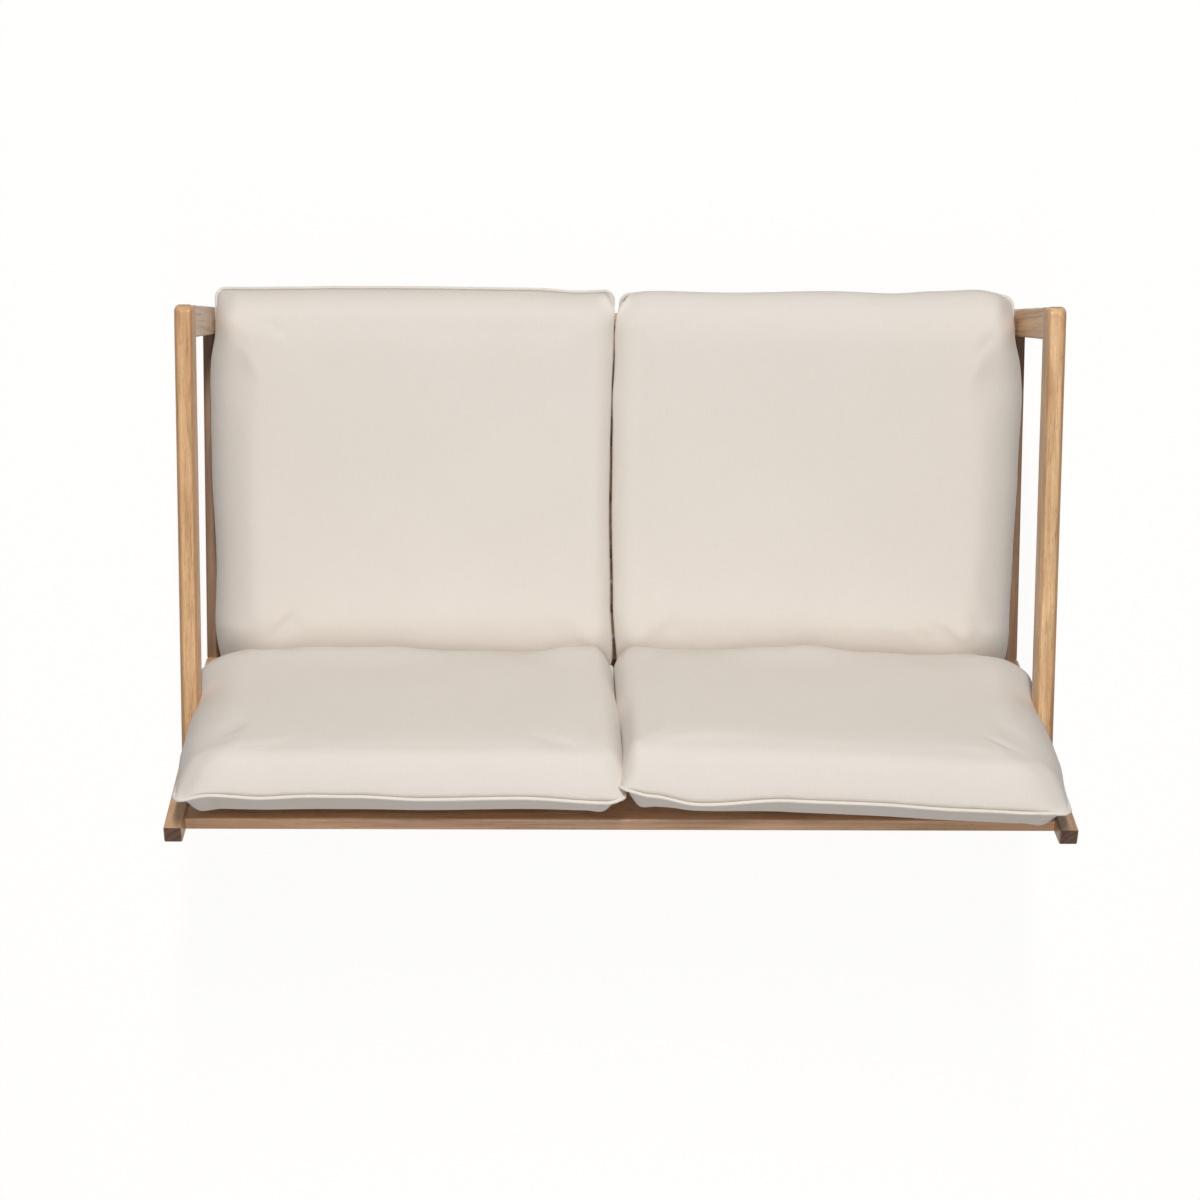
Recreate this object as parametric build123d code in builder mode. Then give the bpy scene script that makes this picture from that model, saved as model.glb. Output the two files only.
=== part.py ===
from build123d import *
import math
import os

# Two-seat patio loveseat: slim wooden side frames, a slatted seat and back, and four loose cushions.
# Row frame: +X is the sitter's left, -Y the front, +Z up. The origin is at the floor, in the middle.
# All lengths are in millimetres, all angles in degrees.

# Whole loveseat
overall_width = 1360.0
overall_depth = 840.0
board_thickness = 28.0  # legs, arms, side rails and back posts, across the width
edge_radius = 3.0  # soft edges of the frame boards
glue_gap = 0.1  # play round a dowel or a thread
joint_overrun = 2.0  # how far a bore runs past its fastener, and a cut past a face
soft_gap = 0.3  # cushions stay this far clear of what they rest on

# Arm
arm_front_height = 611.0
arm_rear_height = 578.0
arm_height = 42.0
arm_nose_radius = 13.0
arm_corner_radius = 8.0
arm_edge_radius = 5.5

# Front leg
leg_setback_top = 40.0  # behind the cushions' front edge
leg_setback_foot = 26.0
leg_depth_top = 49.0
leg_depth_foot = 37.0

# Back post, one shaped board from the floor to the top of the back
post_top_height = 764.0
post_top_depth = 24.0
back_rake = 23.1
knee_rise = 8.0  # the post's front face is upright from this far above the side rail
knee_reach = 12.0  # to this far below it
knee_radius = 34.0
waist_drop = 34.0  # the post is deepest this far below the side rail's top edge
waist_depth = 56.0
waist_radius = 60.0
back_foot_splay = 20.0
back_foot_depth = 39.0

# Foot glides
glide_height = 4.0
glide_radius = 11.0
glide_nail_radius = 1.6
glide_nail_length = 16.0

# Seat rails and deck
deck_height = 303.0  # top of the slats behind the front rail
seat_pitch = 3.0
side_rail_front_drop = 5.0  # of the side rail's top edge, below the deck's height at the front
side_rail_rear_drop = 19.0
side_rail_height = 64.0
front_rail_recess = 8.0
front_rail_thickness = 22.0
front_rail_height = 64.0
rear_rail_setback = 16.0  # behind the post's upright face
rear_rail_thickness = 22.0
rear_rail_height = 58.0
ledger_thickness = 20.0
ledger_height = 25.0
support_thickness = 30.0
support_height = 45.0
support_housing = 8.0

# Seat slats
seat_slat_count = 6
seat_slat_gap = 13.0
seat_slat_thickness = 18.0
seat_slat_end_gap = 1.0
slat_edge_radius = 2.0

# Back rails and slats
back_rail_recess = 7.0  # behind the front faces of the posts
back_rail_thickness = 20.0
top_rail_drop = 37.0  # from the end of the posts down to the rail's top edge
top_rail_height = 55.0
lower_rail_clearance = 61.0  # from the rear seat rail up to the lower back rail
lower_rail_height = 50.0
back_slat_count = 11
back_slat_width = 55.0
back_slat_thickness = 12.0
back_slat_housing = 12.0

# Dowels
dowel_radius = 4.0
dowel_half_length = 25.0
dowel_short_reach = 15.0  # in a leg or a post, beside the bolts
arm_dowel_spacing = 20.0
rail_dowel_spacing = 32.0

# Connector bolts and their barrel nuts
bolt_radius = 3.0
bolt_bore_radius = 3.4
bolt_head_radius = 6.0
bolt_head_height = 3.0
bolt_head_depth = 4.0  # the head sits this far inside the outer face, measured to its seat
bolt_head_clearance = 0.5
bolt_socket_radius = 2.3
bolt_socket_depth = 2.0
bolt_length = 62.0
bolt_spacing = 28.0
nut_radius = 5.0
nut_length = 14.0
nut_setback = 28.0  # from the end of the rail

# Wood screws
screw_radius = 2.0
screw_head_radius = 4.0
screw_head_height = 2.4
slat_screw_length = 36.0
ledger_screw_length = 40.0
ledger_screw_count = 3

# Cushions
welt_radius = 2.75
cover_thickness = 2.5
foam_gap = 0.3
centre_gap = 0.3  # between two neighbouring cushions
side_gap = 0.5  # between a cushion and the frame
side_draw = 3.0  # how far the middle of each seam is drawn in
ear_radius = 9.0
seat_crown = 68.0
seat_crown_run = 95.0  # from the seam in to the full height
seat_base = 50.0
seat_base_run = 62.0
seat_rear_gap = 4.0  # between the seat cushion and the back rails
seam_margin = 6.0  # where the cover's two panels are sewn together, round the foam
back_cushion_rise = 33.7  # of its top edge past the end of the posts, along the rake
back_cushion_lead = 74.0  # of its top edge, in front of the back rails
back_crown = 68.0
back_crown_run = 112.0
back_base_run = 100.0
back_foot_inset = 18.0  # the back cushion's foot stands this far in from the seat cushion's rear seam
back_foot_sink_share = 0.35  # of the draw: how far the corners stand below the seam's drawn-in middle

# Half a cushion, from its seam to the crown: share of the run in, of the height, the draw and the corner
crown_shares = (
    (0.00, 0.00, 1.0, 0.0),
    (0.17, 0.31, 0.8, 0.2),
    (0.42, 0.66, 0.6, 0.5),
    (0.70, 0.91, 0.4, 0.8),
    (1.00, 0.99, 0.3, 1.0),
    (1.40, 1.00, 0.2, 1.2),
)
crown_corner_share = 0.42  # corner radius gained over one run in
corner_limit_share = 0.4  # of a section's shorter side, at most


def through(first, second, height):
    """Where the line through two side-view points has the given height: a (y, z) point."""
    share = (height - first[1]) / (second[1] - first[1])
    return (first[0] + share * (second[0] - first[0]), height)


def shifted(line, drop):
    """A side-view line, as two points, moved straight down."""
    return tuple((y, z - drop) for y, z in line)


def crossing(line_a, line_b):
    """Where two side-view lines meet, each given by two (y, z) points."""
    (ya, za), (yb, zb) = line_a
    (yc, zc), (yd, zd) = line_b
    turn = (yb - ya) * (zd - zc) - (zb - za) * (yd - yc)
    share = ((yc - ya) * (zd - zc) - (zc - za) * (yd - yc)) / turn
    return (ya + share * (yb - ya), za + share * (zb - za))


def middle(first, second):
    """The point half-way between two side-view points."""
    return ((first[0] + second[0]) / 2, (first[1] + second[1]) / 2)


# Side view, worked out from the driving sizes: (y, z) points
inner_half = overall_width / 2 - board_thickness
outer_half = overall_width / 2
board_middle = overall_width / 2 - board_thickness / 2
inner_width = 2 * inner_half
front_y = -overall_depth / 2
rear_y = overall_depth / 2
rake_sin = math.sin(math.radians(back_rake))
rake_cos = math.cos(math.radians(back_rake))
pitch_sin = math.sin(math.radians(seat_pitch))
pitch_cos = math.cos(math.radians(seat_pitch))
pitch_tan = math.tan(math.radians(seat_pitch))

side_rail_front_height = deck_height - side_rail_front_drop
side_rail_rear_height = deck_height - side_rail_rear_drop
knee_top = side_rail_rear_height + knee_rise
knee_bottom = side_rail_rear_height - side_rail_height - knee_reach
waist_height = side_rail_rear_height - waist_drop

post_top_front = (rear_y - post_top_depth * rake_cos, post_top_height)
post_top_rear = (rear_y, post_top_height - post_top_depth * rake_sin)
knee_y = post_top_front[0] - (post_top_height - knee_top) * rake_sin / rake_cos
post_knee_high = (knee_y, knee_top)
post_knee_low = (knee_y, knee_bottom)
back_foot_y = knee_y + knee_bottom * math.tan(math.radians(back_foot_splay))
post_foot_front = through(post_knee_low, (back_foot_y, 0.0), glide_height)
post_waist = (knee_y + waist_depth, waist_height)
post_foot_rear = through(post_waist, (back_foot_y + back_foot_depth, 0.0), glide_height)
post_front_line = (post_knee_high, post_top_front)
post_upright_line = (post_knee_low, post_knee_high)

arm_front_y = front_y + leg_setback_top
arm_rear_point = through(post_knee_high, post_top_front, arm_rear_height)
arm_top_line = ((arm_front_y, arm_front_height), arm_rear_point)
arm_under_line = shifted(arm_top_line, arm_height)
arm_end_line = ((arm_front_y, 0.0), (arm_front_y, arm_front_height))
arm_run = (arm_rear_point[0] - arm_front_y, arm_rear_height - arm_front_height)
arm_direction = Vector(0, *arm_run).normalized()

leg_foot_front = (front_y + leg_setback_foot, 0.0)
leg_foot_rear = (leg_foot_front[0] + leg_depth_foot, 0.0)
leg_top_front = arm_under_line[0]
leg_front_line = (leg_foot_front, leg_top_front)
leg_rear_top = (leg_top_front[0] + leg_depth_top, leg_top_front[1])
leg_rear_line = (leg_foot_rear, leg_rear_top)

rail_front_point = through(leg_foot_rear, leg_rear_top, side_rail_front_height)
side_rail_top_line = (rail_front_point, (knee_y, side_rail_rear_height))
side_rail_under_line = shifted(side_rail_top_line, side_rail_height)
rail_run = (knee_y - rail_front_point[0], side_rail_rear_height - side_rail_front_height)
rail_direction = Vector(0, *rail_run).normalized()

front_rail_y = through(leg_foot_front, leg_top_front, deck_height)[0] + front_rail_recess
front_rail_rear_y = front_rail_y + front_rail_thickness
front_rail_top = deck_height
rear_rail_y = knee_y + rear_rail_setback
rear_rail_rear_y = rear_rail_y + rear_rail_thickness
rear_rail_top = deck_height - (rear_rail_rear_y - front_rail_rear_y) * pitch_tan
deck_run = (rear_rail_y - front_rail_rear_y) / pitch_cos
lower_rail_under = rear_rail_top + lower_rail_clearance
back_rail_rear_drop = (back_rail_recess + back_rail_thickness) * rake_sin
lower_rail_reach = (post_top_height - lower_rail_under - back_rail_rear_drop) / rake_cos
lower_rail_drop = lower_rail_reach - lower_rail_height

deck_plane = Plane(
    origin=(0, front_rail_rear_y, deck_height), x_dir=(1, 0, 0), z_dir=(0, pitch_sin, pitch_cos)
)
back_plane = Plane(
    origin=(0, *post_top_front), x_dir=(1, 0, 0), z_dir=(0, -rake_cos, rake_sin)
)
inner_plane = Plane.YZ.offset(inner_half)
outer_plane = Plane.YZ.offset(outer_half)

os.makedirs("parts", exist_ok=True)


def save(part, name):
    """Label a finished piece and write its file."""
    part.label = name
    export_step(part, f"parts/{name}.step")


# Bolt axes through the left side frame: (y, z) points, two to each rail
def upright_pair(y, top, height):
    """Two bolt points in an upright rail, about its middle."""
    centre = top - height / 2
    return [(y, centre - bolt_spacing / 2), (y, centre + bolt_spacing / 2)]


def raked_pair(drop, height):
    """Two bolt points in a back rail, along the rake."""
    points = []
    for offset in (-bolt_spacing / 2, bolt_spacing / 2):
        local = (0, -drop - height / 2 + offset, -back_rail_recess - back_rail_thickness / 2)
        place = back_plane.from_local_coords(local)
        points.append((place.Y, place.Z))
    return points


front_rail_bolts = upright_pair(
    front_rail_y + front_rail_thickness / 2, front_rail_top, front_rail_height
)
rear_rail_bolts = upright_pair(
    rear_rail_y + rear_rail_thickness / 2, rear_rail_top, rear_rail_height
)
top_rail_bolts = raked_pair(top_rail_drop, top_rail_height)
lower_rail_bolts = raked_pair(lower_rail_drop, lower_rail_height)
post_bolts = rear_rail_bolts + top_rail_bolts + lower_rail_bolts
level_nuts = front_rail_bolts + rear_rail_bolts
raked_nuts = top_rail_bolts + lower_rail_bolts
bolt_seat_plane = outer_plane.offset(-bolt_head_depth)


def side_bores(points):
    """Cutting tool: the counterbored bolt holes of a left leg or post."""
    with BuildPart() as tool:
        with BuildSketch(inner_plane.offset(-joint_overrun)):
            with Locations(*points):
                Circle(bolt_bore_radius)
        extrude(amount=board_thickness)
        with BuildSketch(bolt_seat_plane):
            with Locations(*points):
                Circle(bolt_head_radius + bolt_head_clearance)
        extrude(amount=bolt_head_depth + joint_overrun)
    return tool.part


def nut_planes(points, raked):
    """A plane at each barrel nut of the left side, its normal pointing forwards through the rail."""
    forward = back_plane.z_dir if raked else Vector(0, -1, 0)
    x = inner_half - nut_setback
    return [Plane(origin=(x, y, z), x_dir=(1, 0, 0), z_dir=forward) for y, z in points]


def rail_bores(points, raked):
    """Cutting tool: bolt holes in both ends of a rail, and the blind holes for its barrel nuts."""
    bore_length = bolt_length - board_thickness + bolt_head_depth + joint_overrun
    with BuildPart() as tool:
        with BuildSketch(inner_plane.offset(joint_overrun)):
            with Locations(*points):
                Circle(bolt_bore_radius)
        extrude(amount=-bore_length - joint_overrun)
        for plane in nut_planes(points, raked):
            with BuildSketch(plane.offset(nut_length / 2 + glue_gap)):
                Circle(nut_radius + glue_gap)
            extrude(amount=-nut_length / 2 - front_rail_thickness / 2 - joint_overrun)
        mirror(about=Plane.YZ)
    return tool.part


# Dowelled joints of the left side frame: plane at the joint, reach forwards and backwards of it
leg_top_middle = middle(leg_top_front, crossing(leg_rear_line, arm_under_line))
post_arm_middle = middle(arm_rear_point, crossing(post_front_line, arm_under_line))
leg_rail_middle = middle(rail_front_point, crossing(leg_rear_line, side_rail_under_line))
post_rail_middle = middle(
    (knee_y, side_rail_rear_height), crossing(post_upright_line, side_rail_under_line)
)
arm_normal = Vector(1, 0, 0).cross(arm_direction)
rail_normal = Vector(1, 0, 0).cross(rail_direction)


def joint_plane(point, along, normal):
    """A plane across a joint of the left side frame, its normal along the dowels."""
    return Plane(origin=(board_middle, *point), x_dir=along, z_dir=normal)


arm_leg_joint = (
    joint_plane(leg_top_middle, arm_direction, arm_normal),
    arm_dowel_spacing,
    dowel_half_length,
    dowel_half_length,
)
arm_post_joint = (
    joint_plane(post_arm_middle, arm_normal, arm_direction),
    arm_dowel_spacing,
    dowel_half_length,
    dowel_half_length,
)
rail_leg_joint = (
    joint_plane(leg_rail_middle, rail_normal, rail_direction),
    rail_dowel_spacing,
    dowel_half_length,
    dowel_short_reach,
)
rail_post_joint = (
    joint_plane(post_rail_middle, rail_normal, rail_direction),
    rail_dowel_spacing,
    dowel_short_reach,
    dowel_half_length,
)


def dowel_pair(joint, play):
    """The two dowels of a joint, or with some play the cutting tool for their holes."""
    plane, spacing, ahead, behind = joint
    with BuildPart() as pair:
        with BuildSketch(plane):
            with Locations((-spacing / 2, 0), (spacing / 2, 0)):
                Circle(dowel_radius + play)
        extrude(amount=ahead + play)
        with BuildSketch(plane):
            with Locations((-spacing / 2, 0), (spacing / 2, 0)):
                Circle(dowel_radius + play)
        extrude(amount=-behind - play)
    return pair.part


# Foot glides, under the middle of each leg
front_foot_middle = leg_foot_front[0] + leg_depth_foot / 2
back_foot_middle = back_foot_y + back_foot_depth / 2


def foot_places(sides):
    """Where the legs stand, on the given sides of the middle: 1 is left, -1 right."""
    return [(side * board_middle, y) for side in sides for y in (front_foot_middle, back_foot_middle)]


def glide_nails(sides, play):
    """The glides' nails under the legs on the given sides, or with some play their holes."""
    with BuildPart() as nails:
        with BuildSketch(Plane.XY.offset(glide_height)):
            with Locations(*foot_places(sides)):
                Circle(glide_nail_radius + play)
        extrude(amount=glide_nail_length + play)
    return nails.part


glide_tool = glide_nails((1,), glue_gap)
leg_bore_tool = side_bores(front_rail_bolts)
post_bore_tool = side_bores(post_bolts)
arm_leg_tool = dowel_pair(arm_leg_joint, glue_gap)
arm_post_tool = dowel_pair(arm_post_joint, glue_gap)
rail_leg_tool = dowel_pair(rail_leg_joint, glue_gap)
rail_post_tool = dowel_pair(rail_post_joint, glue_gap)


# Screws: a countersunk head on a plain shank, along the plane's negative normal
def screw(plane, length, play):
    """One wood screw with its head flush in the plane, or with some play the tool for its hole."""
    with BuildPart() as body:
        with BuildSketch(plane):
            Circle(screw_head_radius + play)
        with BuildSketch(plane.offset(-screw_head_height)):
            Circle(screw_radius + play)
        loft()
        with BuildSketch(plane.offset(-screw_head_height)):
            Circle(screw_radius + play)
        extrude(amount=-(length - screw_head_height) - play)
    return body.part


ledger_middle = inner_half - ledger_thickness / 2
seat_slat_width = (deck_run - (seat_slat_count + 1) * seat_slat_gap) / seat_slat_count
seat_slat_places = [
    seat_slat_gap + seat_slat_width / 2 + n * (seat_slat_width + seat_slat_gap)
    for n in range(seat_slat_count)
]
slat_screw_columns = (-ledger_middle, 0, ledger_middle)
slat_screw_planes = [
    Plane(origin=deck_plane.from_local_coords((x, y, 0)), x_dir=(1, 0, 0), z_dir=deck_plane.z_dir)
    for y in seat_slat_places
    for x in slat_screw_columns
]
ledger_screw_planes = []
for gap in range(1, seat_slat_count, 2):
    gap_middle = seat_slat_gap / 2 + gap * (seat_slat_width + seat_slat_gap)
    ledger_screw_planes.append(
        Plane(
            origin=deck_plane.from_local_coords(
                (inner_half - ledger_thickness, gap_middle, -seat_slat_thickness - ledger_height / 2)
            ),
            x_dir=(0, 1, 0),
            z_dir=(-1, 0, 0),
        )
    )


def screws(planes, length, play):
    """Several screws, or the cutting tool for their holes."""
    with BuildPart() as group:
        for plane in planes:
            add(screw(plane, length, play))
    return group.part


slat_screw_tool = screws(slat_screw_planes, slat_screw_length, glue_gap)
ledger_screw_tool = screws(ledger_screw_planes, ledger_screw_length, glue_gap)


# Side frame boards, made on the left and mirrored to the right
def long_edges(part):
    """The edges that run along a board: those on its two broad faces."""
    faces = part.faces().sort_by(Axis.X)
    return faces[0].edges() + faces[-1].edges()


with BuildPart() as arm_left:
    with BuildSketch(inner_plane):
        with BuildLine():
            Polyline(
                crossing(arm_end_line, arm_top_line),
                arm_rear_point,
                crossing(post_front_line, arm_under_line),
                crossing(arm_end_line, arm_under_line),
                close=True,
            )
        make_face()
    extrude(amount=board_thickness)
    fillet(arm_left.faces().sort_by(Axis.Y)[0].edges().sort_by(Axis.Z)[-1], arm_nose_radius)
    outer_front = arm_left.edges().filter_by(Axis.Z).sort_by(Axis.Y)[0:2].sort_by(Axis.X)[-1]
    fillet(outer_front, arm_corner_radius)
    top_edges = arm_left.faces().filter_by(Plane((0, 0, 0), z_dir=arm_normal)).sort_by(Axis.Z)[-1]
    fillet(top_edges.edges().filter_by(Axis((0, 0, 0), arm_direction)), arm_edge_radius)
    add(arm_leg_tool, mode=Mode.SUBTRACT)
    add(arm_post_tool, mode=Mode.SUBTRACT)

with BuildPart() as front_leg_left:
    with BuildSketch(inner_plane):
        with BuildLine():
            Polyline(
                through(leg_foot_front, leg_top_front, glide_height),
                leg_top_front,
                crossing(leg_rear_line, arm_under_line),
                through(leg_foot_rear, leg_rear_top, glide_height),
                close=True,
            )
        make_face()
    extrude(amount=board_thickness)
    upright = front_leg_left.edges().filter_by(lambda e: abs(e.tangent_at(0).Z) > rake_cos)
    fillet(upright, edge_radius)
    add(leg_bore_tool, mode=Mode.SUBTRACT)
    add(glide_tool, mode=Mode.SUBTRACT)
    add(arm_leg_tool, mode=Mode.SUBTRACT)
    add(rail_leg_tool, mode=Mode.SUBTRACT)

with BuildPart() as back_post_left:
    with BuildSketch(inner_plane) as post_outline:
        with BuildLine():
            Polyline(
                post_top_front,
                post_top_rear,
                post_waist,
                post_foot_rear,
                post_foot_front,
                post_knee_low,
                post_knee_high,
                close=True,
            )
        make_face()
        knees = post_outline.vertices().sort_by(Axis.X)[0:2]
        fillet(knees, knee_radius)
        waist = post_outline.vertices().filter_by(lambda v: abs(v.Y - waist_height) < edge_radius)
        fillet(waist, waist_radius)
    extrude(amount=board_thickness)
    fillet(long_edges(back_post_left.part), edge_radius)
    add(post_bore_tool, mode=Mode.SUBTRACT)
    add(glide_tool, mode=Mode.SUBTRACT)
    add(arm_post_tool, mode=Mode.SUBTRACT)
    add(rail_post_tool, mode=Mode.SUBTRACT)

with BuildPart() as side_rail_left:
    with BuildSketch(inner_plane):
        with BuildLine():
            Polyline(
                rail_front_point,
                (knee_y, side_rail_rear_height),
                crossing(post_upright_line, side_rail_under_line),
                crossing(leg_rear_line, side_rail_under_line),
                close=True,
            )
        make_face()
    extrude(amount=board_thickness)
    fillet(
        side_rail_left.edges().filter_by(Axis((0, 0, 0), rail_direction)),
        edge_radius,
    )
    add(rail_leg_tool, mode=Mode.SUBTRACT)
    add(rail_post_tool, mode=Mode.SUBTRACT)
    add(ledger_screw_tool, mode=Mode.SUBTRACT)

ledger_under_drop = (seat_slat_thickness + ledger_height) / pitch_cos
ledger_top_drop = seat_slat_thickness / pitch_cos
deck_line = ((front_rail_rear_y, deck_height), (rear_rail_y, deck_height - deck_run * pitch_sin))
ledger_top_line = shifted(deck_line, ledger_top_drop)
ledger_under_line = shifted(deck_line, ledger_under_drop)

with BuildPart() as seat_ledger_left:
    with BuildSketch(inner_plane):
        with BuildLine():
            Polyline(
                ledger_top_line[0],
                ledger_top_line[1],
                ledger_under_line[1],
                ledger_under_line[0],
                close=True,
            )
        make_face()
    extrude(amount=-ledger_thickness)
    add(slat_screw_tool, mode=Mode.SUBTRACT)
    add(ledger_screw_tool, mode=Mode.SUBTRACT)

for piece, name in (
    (arm_left, "arm"),
    (front_leg_left, "front_leg"),
    (back_post_left, "back_post"),
    (side_rail_left, "side_rail"),
    (seat_ledger_left, "seat_ledger"),
):
    save(piece.part, f"{name}_left")
    with BuildPart() as opposite:
        mirror(piece.part, about=Plane.YZ)
    save(opposite.part, f"{name}_right")

# Centre support, under the middle of the slats and housed in the front and rear rails
support_line = (
    (front_rail_rear_y - support_housing, deck_height + support_housing * pitch_tan),
    (
        rear_rail_y + support_housing,
        deck_height - (rear_rail_y + support_housing - front_rail_rear_y) * pitch_tan,
    ),
)
support_top_line = shifted(support_line, seat_slat_thickness / pitch_cos)
support_under_line = shifted(support_line, (seat_slat_thickness + support_height) / pitch_cos)

with BuildPart() as centre_support:
    with BuildSketch(Plane.YZ):
        with BuildLine():
            Polyline(
                support_top_line[0],
                support_top_line[1],
                support_under_line[1],
                support_under_line[0],
                close=True,
            )
        make_face()
    extrude(amount=support_thickness / 2, both=True)
support_blank = centre_support.part
with BuildPart() as centre_support:
    add(support_blank)
    add(slat_screw_tool, mode=Mode.SUBTRACT)
save(centre_support.part, "centre_support")


# Seat rails between the side frames
def seat_rail(near_y, thickness, top, height, bolts):
    """An upright rail across the seat, its ends bored for the bolts, with the support's housing."""
    tool = rail_bores(bolts, raked=False)
    with BuildPart() as rail:
        with BuildSketch(Plane.YZ):
            with Locations((near_y + thickness / 2, top - height / 2)):
                Rectangle(thickness, height)
        extrude(amount=inner_half, both=True)
        fillet(rail.edges().filter_by(Axis.X), edge_radius)
        add(tool, mode=Mode.SUBTRACT)
        add(support_blank, mode=Mode.SUBTRACT)
    return rail.part


front_rail = seat_rail(
    front_rail_y, front_rail_thickness, front_rail_top, front_rail_height, front_rail_bolts
)
rear_seat_rail = seat_rail(
    rear_rail_y, rear_rail_thickness, rear_rail_top, rear_rail_height, rear_rail_bolts
)
save(front_rail, "front_rail")
save(rear_seat_rail, "rear_seat_rail")

# Seat slats, screwed down on the ledgers and the centre support
for number, place in enumerate(seat_slat_places, start=1):
    with BuildPart() as seat_slat:
        with BuildSketch(deck_plane):
            with Locations((0, place)):
                Rectangle(inner_width - 2 * seat_slat_end_gap, seat_slat_width)
        extrude(amount=-seat_slat_thickness)
        fillet(seat_slat.edges().filter_by(Axis.X), slat_edge_radius)
        add(slat_screw_tool, mode=Mode.SUBTRACT)
    save(seat_slat.part, f"seat_slat_{number}")

# Back slats, housed in the two back rails
slat_top = -top_rail_drop - top_rail_height + back_slat_housing
slat_bottom = -lower_rail_drop - back_slat_housing
back_slat_step = (inner_width + back_slat_width) / (back_slat_count + 1)
back_slat_first = -inner_half - back_slat_width / 2 + back_slat_step
slat_plane = back_plane.offset(-back_rail_recess - back_rail_thickness / 2)
back_slats = []
for number in range(back_slat_count):
    with BuildPart() as back_slat:
        with BuildSketch(slat_plane):
            with Locations((back_slat_first + number * back_slat_step, (slat_top + slat_bottom) / 2)):
                Rectangle(back_slat_width, slat_top - slat_bottom)
        extrude(amount=back_slat_thickness / 2, both=True)
        fillet(back_slat.edges().filter_by(Axis((0, 0, 0), back_plane.y_dir)), slat_edge_radius)
    back_slats.append(back_slat.part)
    save(back_slat.part, f"back_slat_{number + 1}")


def back_rail(drop, height, bolts):
    """A rail across the back, along the rake, with mortises for the slats."""
    tool = rail_bores(bolts, raked=True)
    with BuildPart() as rail:
        with BuildSketch(slat_plane):
            with Locations((0, -drop - height / 2)):
                Rectangle(inner_width, height)
        extrude(amount=back_rail_thickness / 2, both=True)
        fillet(rail.edges().filter_by(Axis.X), edge_radius)
        add(tool, mode=Mode.SUBTRACT)
        add(back_slats, mode=Mode.SUBTRACT)
    return rail.part


save(back_rail(top_rail_drop, top_rail_height, top_rail_bolts), "top_back_rail")
save(back_rail(lower_rail_drop, lower_rail_height, lower_rail_bolts), "lower_back_rail")

# Dowels, bolts, barrel nuts and screws, each kind one group of loose solids
with BuildPart() as frame_dowels:
    for joint in (arm_leg_joint, arm_post_joint, rail_leg_joint, rail_post_joint):
        add(dowel_pair(joint, 0))
    mirror(about=Plane.YZ)
save(frame_dowels.part, "frame_dowels")

with BuildPart() as frame_bolts:
    with BuildSketch(bolt_seat_plane):
        with Locations(*front_rail_bolts, *post_bolts):
            Circle(bolt_head_radius)
    extrude(amount=bolt_head_height)
    with BuildSketch(bolt_seat_plane):
        with Locations(*front_rail_bolts, *post_bolts):
            Circle(bolt_radius)
    extrude(amount=-bolt_length)
    with BuildSketch(bolt_seat_plane.offset(bolt_head_height)):
        with Locations(*front_rail_bolts, *post_bolts):
            RegularPolygon(bolt_socket_radius, 6)
    extrude(amount=-bolt_socket_depth, mode=Mode.SUBTRACT)
    mirror(about=Plane.YZ)
save(frame_bolts.part, "frame_bolts")

with BuildPart() as barrel_nuts:
    for plane in nut_planes(level_nuts, raked=False) + nut_planes(raked_nuts, raked=True):
        with BuildSketch(plane):
            Circle(nut_radius)
        extrude(amount=nut_length / 2, both=True)
        with BuildSketch(Plane(origin=plane.origin, z_dir=(1, 0, 0))):
            Circle(bolt_radius + glue_gap)
        extrude(amount=nut_radius + joint_overrun, both=True, mode=Mode.SUBTRACT)
    mirror(about=Plane.YZ)
save(barrel_nuts.part, "barrel_nuts")

save(screws(slat_screw_planes, slat_screw_length, 0), "slat_screws")
with BuildPart() as ledger_screws:
    add(screws(ledger_screw_planes, ledger_screw_length, 0))
    mirror(about=Plane.YZ)
save(ledger_screws.part, "ledger_screws")

# Foot glides: a disc and its nail under each leg
with BuildPart() as foot_glides:
    with BuildSketch():
        with Locations(*foot_places((-1, 1))):
            Circle(glide_radius)
    extrude(amount=glide_height)
    add(glide_nails((-1, 1), 0))
save(foot_glides.part, "foot_glides")


# Loose cushions: two panels sewn together round a foam core, with a welt in the seam
def seam_outline(plane, width, length, draw, corner):
    """One section of a cushion: four sides drawn in by shallow arcs, between rounded corners."""
    half_width = width / 2
    half_length = length / 2
    with BuildSketch(plane) as section:
        with BuildLine():
            ThreePointArc(
                (-half_width, -half_length), (0, -half_length + draw), (half_width, -half_length)
            )
            ThreePointArc(
                (half_width, -half_length), (half_width - draw, 0), (half_width, half_length)
            )
            ThreePointArc(
                (half_width, half_length), (0, half_length - draw), (-half_width, half_length)
            )
            ThreePointArc(
                (-half_width, half_length), (-half_width + draw, 0), (-half_width, -half_length)
            )
        make_face()
        fillet(section.vertices(), min(corner, corner_limit_share * min(width, length)))
    return section.sketch.face()


def crown_sections(plane, width, length, rise, run, lean):
    """Sections of half a cushion, from the seam up, or down where the rise is negative.

    The lean is the angle that the last section makes with the seam.
    """
    sections = []
    for run_share, rise_share, draw_share, corner_share in crown_shares:
        sections.append(
            seam_outline(
                plane.rotated((lean * rise_share, 0, 0)).offset(rise * rise_share),
                width - 2 * run * run_share,
                length - 2 * run * run_share,
                side_draw * draw_share,
                ear_radius + run * crown_corner_share * corner_share,
            )
        )
    return sections


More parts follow.
